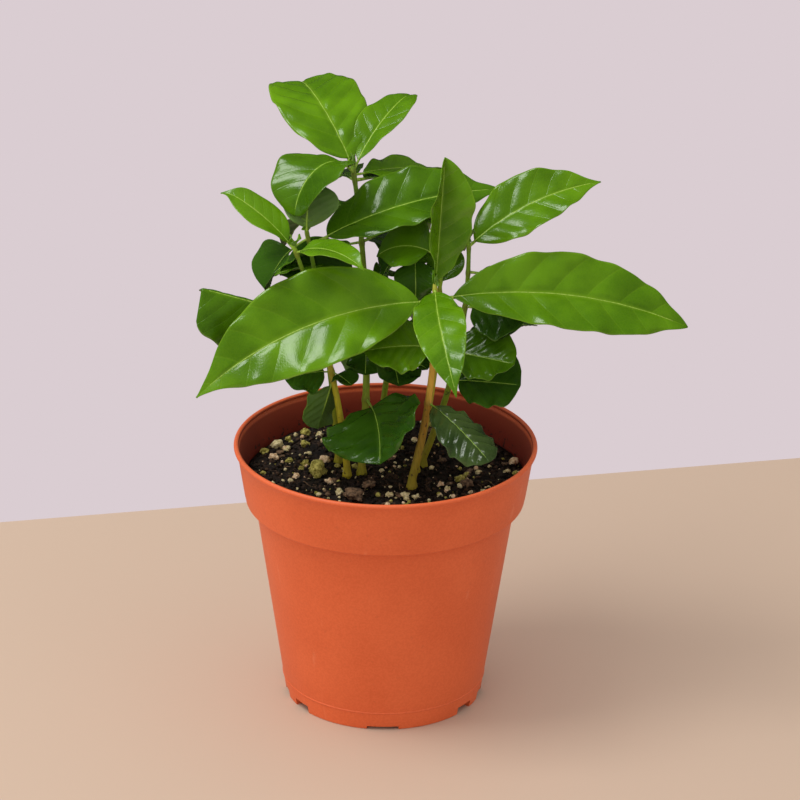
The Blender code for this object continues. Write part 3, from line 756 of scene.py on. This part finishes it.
def potProfile():
    wall, lip = pot["wall"], pot["collarHeight"]
    step = pot["height"] - lip
    line = pot["mouldLine"]
    beadHeight = pot["height"] - pot["beadRadius"]
    beadMiddle = collarRadius(beadHeight) - pot["beadRadius"] + pot["beadOverhang"]
    innerFoot = bodyRadius(0) - pot["footWidth"]
    innerStep = step + wall
    soft = 0.0005
    return [
        (0.0, 0.0), (pot["pad"] - soft, 0.0), (pot["pad"], soft), (pot["pad"] + wall, pot["floor"]),
        (innerFoot - wall / 2, pot["floor"]), (innerFoot, soft), (innerFoot + soft, 0.0),
        *roundCorner((bodyRadius(0) - soft, soft), soft, -90, 5, 5),
        (bodyRadius(line) - 0.0001, line - 0.0006),
        *roundCorner((bodyRadius(line) - 0.0002, line), 0.0005, -80, 60, 6),
        (bodyRadius(line + 0.0009), line + 0.0009),
        *stretch(bodyRadius, 0.02, step - 0.0022, 8),
        *roundCorner((bodyRadius(step) + 0.0008, step - 0.0012), 0.0009, 180, 95, 5),
        *roundCorner((collarRadius(step) - 0.0011, step + 0.0011), 0.0011, -85, 8, 6),
        *stretch(collarRadius, step + 0.004, beadHeight - 0.004, 5),
        *roundCorner((beadMiddle, beadHeight), pot["beadRadius"], -48, 228, 18),
        *stretch(collarRadius, beadHeight - 0.004, innerStep + 0.002, 5, wall),
        (collarRadius(innerStep) - wall - 0.0003, innerStep + 0.0005),
        (bodyRadius(innerStep) - wall + 0.0003, innerStep), (bodyRadius(innerStep) - wall, innerStep - 0.0006),
        *stretch(bodyRadius, 0.08, pot["floor"] + wall + 0.001, 5, wall),
        (bodyRadius(pot["floor"]) - wall - 0.001, pot["floor"] + wall), (pot["pad"], pot["floor"] + wall),
        (pot["pad"] - wall, wall), (0.0, wall),
    ]


def potFinish():
    finish = Finish("terracotta_plastic")
    x, y, z = (finish.add("SeparateXYZ", None, [finish.place], output=axis) for axis in range(3))
    flat = finish.add("CombineXYZ", None, [x, y, 0.0])
    radius = finish.add("VectorMath", {"operation": "LENGTH"}, [flat], output="Value")
    clouds = finish.noise(26, 3)
    grain = finish.noise(900, 3)
    speckle = finish.noise(330, 2)
    rubs = finish.streaks((160, 160, 22), 5.0)
    mottle = clouds.ramp(0.35, 0.65) * 0.5 + grain.ramp(0.35, 0.65) * 0.5
    colour = finish.blend(mottle, pot["deep"], pot["lit"])
    colour = finish.blend(rubs.ramp(0.66, 0.76) * 0.3, colour, pot["scuff"])
    colour = finish.blend(speckle.ramp(0.66, 0.74) * 0.1, colour, (150, 62, 34))
    # inside the rim the wall is painted darker as painted shade, deepest lower down, and real dark crumbs sit just
    # above the potting mix
    inner = (collarRadius(z) - radius).ramp(0.0008, 0.0012) * z.ramp(0.108, 0.11)
    innerShade = (1 - z.ramp(0.118, 0.1345)) * 0.2 + 0.72
    # painted shade on the inner wall: a deep red-brown blend that stands in for the shadow inside the pot
    colour = finish.blend(inner * innerShade, colour, (116, 20, 2))
    dirt = finish.noise(520, 2).ramp(0.6, 0.66) * inner * (1 - z.ramp(0.119, 0.128))
    colour = finish.blend(dirt * 0.9, colour, (36, 22, 16))
    height = grain * 0.00003 + rubs * 0.00005 + clouds * 0.0001
    sheen = 0.48 + clouds * 0.12 - rubs.ramp(0.6, 0.8) * 0.08 + inner * 0.25
    return finish.wear(colour, sheen, height)


def selectOnly(obj):
    bpy.ops.object.select_all(action="DESELECT")
    obj.select_set(True)
    bpy.context.view_layer.objects.active = obj


# A profile of (radius, height) points turned once round the pot's middle
def spun(name, profile, sides):
    mesh = bpy.data.meshes.new(name)
    edges = [(i, i + 1) for i in range(len(profile) - 1)]
    mesh.from_pydata([(radius, 0, height) for radius, height in profile], edges, [])
    obj = linked(name, mesh)
    selectOnly(obj)
    bpy.ops.object.mode_set(mode="EDIT")
    bpy.ops.mesh.select_all(action="SELECT")
    bpy.ops.mesh.spin(steps=sides, angle=math.tau, center=(0, 0, 0), axis=(0, 0, 1))
    bpy.ops.mesh.select_all(action="SELECT")
    bpy.ops.mesh.remove_doubles(threshold=0.00002)
    bpy.ops.mesh.normals_make_consistent(inside=False)
    bpy.ops.object.mode_set(mode="OBJECT")
    return obj


def cutAway(obj, cutters):
    for cutter in cutters:
        selectOnly(obj)
        cut = obj.modifiers.new("Cut", "BOOLEAN")
        cut.operation = "DIFFERENCE"
        cut.object = cutter
        cut.solver = "EXACT"
        bpy.ops.object.modifier_apply(modifier=cut.name)
        bpy.data.objects.remove(cutter)


def notchCutter(angle, kind):
    turn = math.radians(angle - 90)
    middle = polar(pot["footRadius"] - pot["footWidth"] / 2, turn)
    bpy.ops.mesh.primitive_cube_add(size=1, location=(*middle, 0), rotation=(0, 0, turn))
    cutter = bpy.context.object
    cutter.scale = (4 * pot["footWidth"], kind["width"], 2 * kind["height"])
    bpy.ops.object.transform_apply(location=True, rotation=True, scale=True)
    bevel = cutter.modifiers.new("Soften", "BEVEL")
    bevel.width = 0.0005
    bevel.segments = 3
    bpy.ops.object.modifier_apply(modifier=bevel.name)
    return cutter


def drainCutter(index):
    turn = math.tau * (index + 0.5) / pot["drains"]
    place = (*polar(pot["drainRing"], turn), pot["floor"] + pot["wall"] / 2)
    bpy.ops.mesh.primitive_cylinder_add(vertices=40, radius=pot["drainRadius"], depth=4 * pot["wall"], location=place)
    return bpy.context.object


shell = spun("nursery_pot", potProfile(), pot["sides"])
notches = [notchCutter(angle, kind) for kind in (pot["frontNotch"], pot["sideNotch"]) for angle in kind["angles"]]
cutAway(shell, notches + [drainCutter(index) for index in range(pot["drains"])])
shell.data.materials.append(potFinish())
selectOnly(shell)
bpy.ops.object.shade_smooth_by_angle(angle=math.radians(32))
dress(shell, ["pot"])
print("pot made:", len(shell.data.polygons), "faces")


soil = {
    "top": 0.1177, "rings": 74, "sides": 200, "clearance": 0.0003, "innerRadius": 0.0695, "seed": 11,
    "lump": {"scale": 70, "height": 0.0022}, "clod": {"scale": 190, "height": 0.00099},
    "crumb": {"scale": 620, "height": 0.00054}, "sunk": 0.0004, "edge": 0.0712, "edgeWidth": 0.006,
    "crumbs": 4200, "crumbSize": (0.0008, 0.0022, 2.5), "grit": 520, "gritSize": (0.0007, 0.0026, 2.6),
    "chips": 46, "chipSize": (0.002, 0.006), "fibres": 26, "fibrePoints": 9, "fibreStep": 0.001,
}
# the larger lumps: place, size and kind
lumps = (
    (-0.0341, 0.0025, 0.0097, "green"), (-0.0414, 0.049, 0.0061, "green"), (-0.0556, 0.0336, 0.0066, "pale"),
    (-0.05, 0.041, 0.0036, "green"), (-0.0411, 0.0349, 0.0046, "green"), (-0.0567, 0.0193, 0.0046, "pink"),
    (-0.0308, 0.015, 0.0063, "pink"), (-0.0282, -0.0085, 0.0042, "pink"), (-0.0447, -0.0015, 0.0036, "pink"),
    (-0.0405, 0.0122, 0.005, "green"), (-0.0228, -0.0229, 0.0036, "pale"), (0.002, -0.0259, 0.0038, "pale"),
    (0.0377, -0.0031, 0.0058, "green"), (0.0646, 0.015, 0.005, "pink"), (0.0279, -0.0107, 0.0034, "pink"),
    (-0.0341, 0.0479, 0.0044, "pale"), (-0.0616, 0.0252, 0.004, "green"), (0.0406, -0.0116, 0.0056, "bark"),
    (-0.0152, -0.0275, 0.0112, "bark"), (-0.0083, -0.0128, 0.0066, "bark"), (-0.0489, 0.0183, 0.0041, "green"),
    (-0.0323, 0.0402, 0.0034, "pale"), (0.01, -0.024, 0.004, "pale"), (0.0155, -0.0262, 0.0036, "pale"),
    (0.031, -0.017, 0.003, "pale"), (0.0468, 0.003, 0.003, "pale"),
)


# The mix heaves in lumps, clods and crumbs, and settles towards the wall
def soilHeight(x, y):
    heave = [
        noise.noise((x * soil[kind]["scale"], y * soil[kind]["scale"], shift)) * soil[kind]["height"]
        for kind, shift in (("lump", 1.7), ("clod", 5.1), ("crumb", 9.3))
    ]
    calm = min(1, (soil["edge"] - math.hypot(x, y)) / soil["edgeWidth"] + 0.25)
    return soil["top"] - soil["sunk"] + sum(heave) * calm * 0.8


def soilProfile():
    wall, gap = pot["wall"], soil["clearance"]
    floorTop = pot["floor"] + wall + gap
    step = pot["height"] - pot["collarHeight"] + wall + gap
    inset = wall + gap
    return [
        (collarRadius(0.112) - inset, 0.112), (collarRadius(step) - inset, step + wall / 2 + gap),
        (bodyRadius(step) - inset, step + gap), (bodyRadius(0.05) - inset, 0.05),
        (bodyRadius(floorTop) - inset, floorTop),
        (pot["pad"] - gap, floorTop), (pot["pad"] - wall - gap, wall + gap),
    ]


def soilMesh():
    sides = soil["sides"]
    outer = collarRadius(soil["top"]) - pot["wall"] - soil["clearance"]
    turn = fullTurn(sides)
    points = [(0, 0, soilHeight(0, 0))]
    for radius in outer * (np.arange(1, soil["rings"] + 1) / soil["rings"]) ** 0.9:
        points += [(*spot, soilHeight(*spot)) for spot in (polar(radius, a) for a in turn)]
    for radius, height in soilProfile():
        points += [(*polar(radius, a), height) for a in turn]
    points.append((0, 0, pot["wall"] + soil["clearance"]))
    rings = soil["rings"] + len(soilProfile())
    faces = [(0, 1 + i, 1 + (i + 1) % sides) for i in range(sides)]
    for ring in range(rings - 1):
        near, far = 1 + ring * sides, 1 + (ring + 1) * sides
        faces += [(near + i, far + i, far + (i + 1) % sides, near + (i + 1) % sides) for i in range(sides)]
    last, middle = 1 + (rings - 1) * sides, len(points) - 1
    faces += [(last + i, middle, last + (i + 1) % sides) for i in range(sides)]
    return points, faces


def soilFinish():
    finish = Finish("potting_mix")
    coarse, fine, specks = finish.noise(240, 4), finish.noise(900, 3), finish.cells(560)
    colour = finish.blend(coarse.ramp(0.35, 0.7), (16, 10, 8), (52, 34, 24))
    colour = finish.blend((1 - specks.ramp(0.05, 0.22)) * fine.ramp(0.5, 0.62) * 0.6, colour, (104, 84, 60))
    height = coarse * 0.0008 + fine * 0.0004
    return finish.wear(colour, 0.8 + fine * 0.15, height)


def grainFinish(name, low, high):
    finish = Finish(name)
    patches, pits = finish.noise(700, 3), finish.cells(1120)
    colour = finish.blend(patches.ramp(0.32, 0.68), low, high)
    colour = finish.blend((1 - pits.ramp(0.05, 0.3)) * 0.35, colour, [c * 0.45 for c in low])
    height = patches * 0.0003 + pits * 0.0003
    return finish.wear(colour, 0.72 + patches * 0.2, height)


# A rough lump is an icosphere of few faces, pushed in and out and set turned on the mix
def lumpShape(subdivisions):
    ball = bmesh.new()
    bmesh.ops.create_icosphere(ball, subdivisions=subdivisions, radius=0.5)
    points = np.array([vert.co[:] for vert in ball.verts])
    faces = [[vert.index for vert in face.verts] for face in ball.faces]
    ball.free()
    return points, faces


lumpShapes = {subdivisions: lumpShape(subdivisions) for subdivisions in (1, 2, 3)}
grainDice = random.Random(soil["seed"])


def lumpAt(x, y, size, lift, subdivisions, flat, rough):
    dice = grainDice
    points, faces = lumpShapes[subdivisions]
    shift = dice.random() * 50
    broad = [noise.noise(Vector(point) * 3.1 + Vector((shift, 0, 0))) for point in points]
    fine = [noise.noise(Vector(point) * 9 + Vector((0, shift, 0))) for point in points]
    swell = np.array([1 + rough * 2 * a + rough * 0.8 * b for a, b in zip(broad, fine)])
    stretch = np.array((dice.uniform(0.8, 1.2), dice.uniform(0.7, 1.05), flat * dice.uniform(0.8, 1.1)))
    turn = Matrix.Rotation(dice.uniform(0, math.tau), 3, "Z") @ Matrix.Rotation(dice.uniform(-0.5, 0.5), 3, "X")
    place = np.array((x, y, soilHeight(x, y) + size * lift))
    return (points * swell[:, None] * stretch * size) @ np.array(turn).T + place, faces


def grainPiece(name, shapes):
    kinds = sorted({kind for _, kind in shapes})
    numbers = [kinds.index(kind) for (_, faces), kind in shapes for _ in faces]
    finishes = [grainFinishes[kind] for kind in kinds]
    return meshObject(name, *gathered([shape for shape, _ in shapes]), finishes, numbers)


grainFinishes = {
    "dark": grainFinish("crumb_dark", (14, 9, 7), (44, 29, 21)),
    "brown": grainFinish("crumb_brown", (38, 24, 16), (84, 58, 38)),
    "green": grainFinish("pumice_green", (120, 112, 30), (196, 184, 96)),
    "pale": grainFinish("pumice_pale", (196, 176, 118), (238, 222, 176)),
    "pink": grainFinish("pumice_pink", (206, 164, 120), (242, 214, 176)),
    "bark": grainFinish("bark_chip", (74, 54, 38), (134, 104, 76)),
}


def somewhere(reach):
    return polar(reach * math.sqrt(grainDice.random()), grainDice.uniform(0, math.tau))


def grainSize(least, more, rareness):
    return least + more * grainDice.random() ** rareness


def clearOfStems(x, y, gap):
    return all(math.hypot(x - s["foot"][0], y - s["foot"][1]) > gap + s["thickness"] for s in seedlings.values())


def insidePot(x, y, gap):
    return math.hypot(x, y) + gap < soil["innerRadius"]


def fibre(x, y):
    heading, bend = grainDice.uniform(0, math.tau), grainDice.uniform(-1.2, 1.2)
    count, reach = soil["fibrePoints"], soil["fibreStep"]
    spots, px, py = [], x, y
    for step in range(count):
        spots.append((px, py, soilHeight(px, py) + 0.0006 + 0.0007 * math.sin(step * 0.8 + x * 900)))
        px += reach * math.cos(heading + bend * step / (count - 1))
        py += reach * math.sin(heading + bend * step / (count - 1))
    return tube(spots, np.linspace(0.00026, 0.0001, count), 5)


dress(meshObject("potting_mix", *soilMesh(), [soilFinish()]), ["soil"])

crumbs = []
while len(crumbs) < soil["crumbs"]:
    x, y = somewhere(0.069)
    size = grainSize(*soil["crumbSize"])
    if insidePot(x, y, size / 2):
        crumbs.append((lumpAt(x, y, size, 0.18, 1, 0.75, 0.3), grainDice.choice(("dark", "dark", "brown"))))
dress(grainPiece("crumbs", crumbs))

grit = [(lumpAt(x, y, size, 0.24, 3, 0.62 if kind == "bark" else 0.82, 0.3), kind) for x, y, size, kind in lumps]
while len(grit) < soil["grit"]:
    x, y = somewhere(0.0685)
    size = grainSize(*soil["gritSize"])
    if clearOfStems(x, y, size / 2) and insidePot(x, y, size * 0.6):
        kind = grainDice.choice(("pale", "pale", "green", "pink"))
        grit.append((lumpAt(x, y, size, 0.22, 2 if size > 0.0014 else 1, 0.85, 0.25), kind))
for _ in range(soil["chips"]):
    x, y = somewhere(0.066)
    size = grainDice.uniform(*soil["chipSize"])
    if clearOfStems(x, y, size / 2):
        grit.append((lumpAt(x, y, size, 0.1, 2, 0.35, 0.3), "bark"))
for _ in range(soil["fibres"]):
    grit.append((fibre(*somewhere(0.058)), "bark"))
dress(grainPiece("grit", grit))
print("potting mix made:", len(crumbs), "crumbs,", len(grit), "lumps, chips and fibres")


studio = {
    "floor": (200, 175, 155), "wall": (218, 205, 210),
    "ambient": (1.0, 0.965, 0.94), "ambientStrength": 0.84, "glossyStrength": 0.04,
    "key": {"watts": 16, "size": 3.0, "place": (-1.95, -1.35, 1.2), "colour": (1.0, 0.985, 0.97), "mirrored": False},
    "window": {"watts": 14, "size": 0.75, "place": (-0.78, -0.16, 1.62), "colour": (0.98, 1, 0.96), "mirrored": True},
    "aim": (0, 0, 0.15), "backEdge": ((-0.215, 0.189), (0.239, 0.288)), "floorReach": 4.0,
    "cameraPlace": (0.00696, -1.8344, 0.9558), "tilt": 66.52, "twist": 0.62, "lens": 180.77,
}


# gloss mirrors the small window, not the broad key light
def areaLight(name):
    look = studio[name]
    light = bpy.data.lights.new(name, "AREA")
    light.shape = "SQUARE"
    light.size = look["size"]
    light.energy = look["watts"]
    light.color = look["colour"]
    lamp = linked(name, light)
    lamp.location = look["place"]
    lamp.visible_glossy = look["mirrored"]
    lamp.rotation_euler = (Vector(look["place"]) - Vector(studio["aim"])).to_track_quat("Z", "Y").to_euler()


def makeFloor():
    (x0, y0), (x1, y1) = studio["backEdge"]
    slope = (y1 - y0) / (x1 - x0)
    reach = studio["floorReach"]
    edge = [(x, y0 + slope * (x - x0), 0) for x in (reach, -reach)]
    finish = Finish("table_top")
    clouds = finish.noise(5, 2)
    colour = finish.blend(clouds, studio["floor"], [c * 0.985 for c in studio["floor"]])
    finish.wear(colour, 0.6 + clouds * 0.05)
    corners = [(-reach, -reach, 0), (reach, -reach, 0), *edge]
    meshObject("floor", corners, [(0, 1, 2, 3)], [finish.material], smooth=False)


def setWorld():
    world = bpy.data.worlds.new("studio")
    world.use_nodes = True
    tree = world.node_tree
    light = tree.nodes["Background"]
    light.inputs["Color"].default_value = (*studio["ambient"], 1)
    light.inputs["Strength"].default_value = studio["ambientStrength"]
    ray = tree.nodes.new("ShaderNodeLightPath")
    # what gloss mirrors is dimmer than what lights the plant, and the camera sees the wall's own colour
    for colour, strength, kind in (
        (studio["ambient"], studio["glossyStrength"], "Is Glossy Ray"), (srgb(*studio["wall"]), 1.0, "Is Camera Ray"),
    ):
        other, mixer = tree.nodes.new("ShaderNodeBackground"), tree.nodes.new("ShaderNodeMixShader")
        other.inputs["Color"].default_value = (*colour, 1)
        other.inputs["Strength"].default_value = strength
        tree.links.new(ray.outputs[kind], mixer.inputs[0])
        tree.links.new(light.outputs[0], mixer.inputs[1])
        tree.links.new(other.outputs[0], mixer.inputs[2])
        light = mixer
    tree.links.new(light.outputs[0], tree.nodes["World Output"].inputs["Surface"])
    scene.world = world


def setCamera():
    camera = linked("camera", bpy.data.cameras.new("camera"))
    tilt = Matrix.Rotation(math.radians(studio["tilt"]), 4, "X")
    twist = Matrix.Rotation(math.radians(studio["twist"]), 4, "Z")
    camera.matrix_world = Matrix.Translation(studio["cameraPlace"]) @ tilt @ twist
    camera.data.lens = studio["lens"]
    camera.data.sensor_width = 36
    camera.data.clip_start, camera.data.clip_end = 0.05, 50
    scene.camera = camera


makeFloor()
setWorld()
areaLight("key")
areaLight("window")
setCamera()
scene.view_settings.view_transform = "Standard"
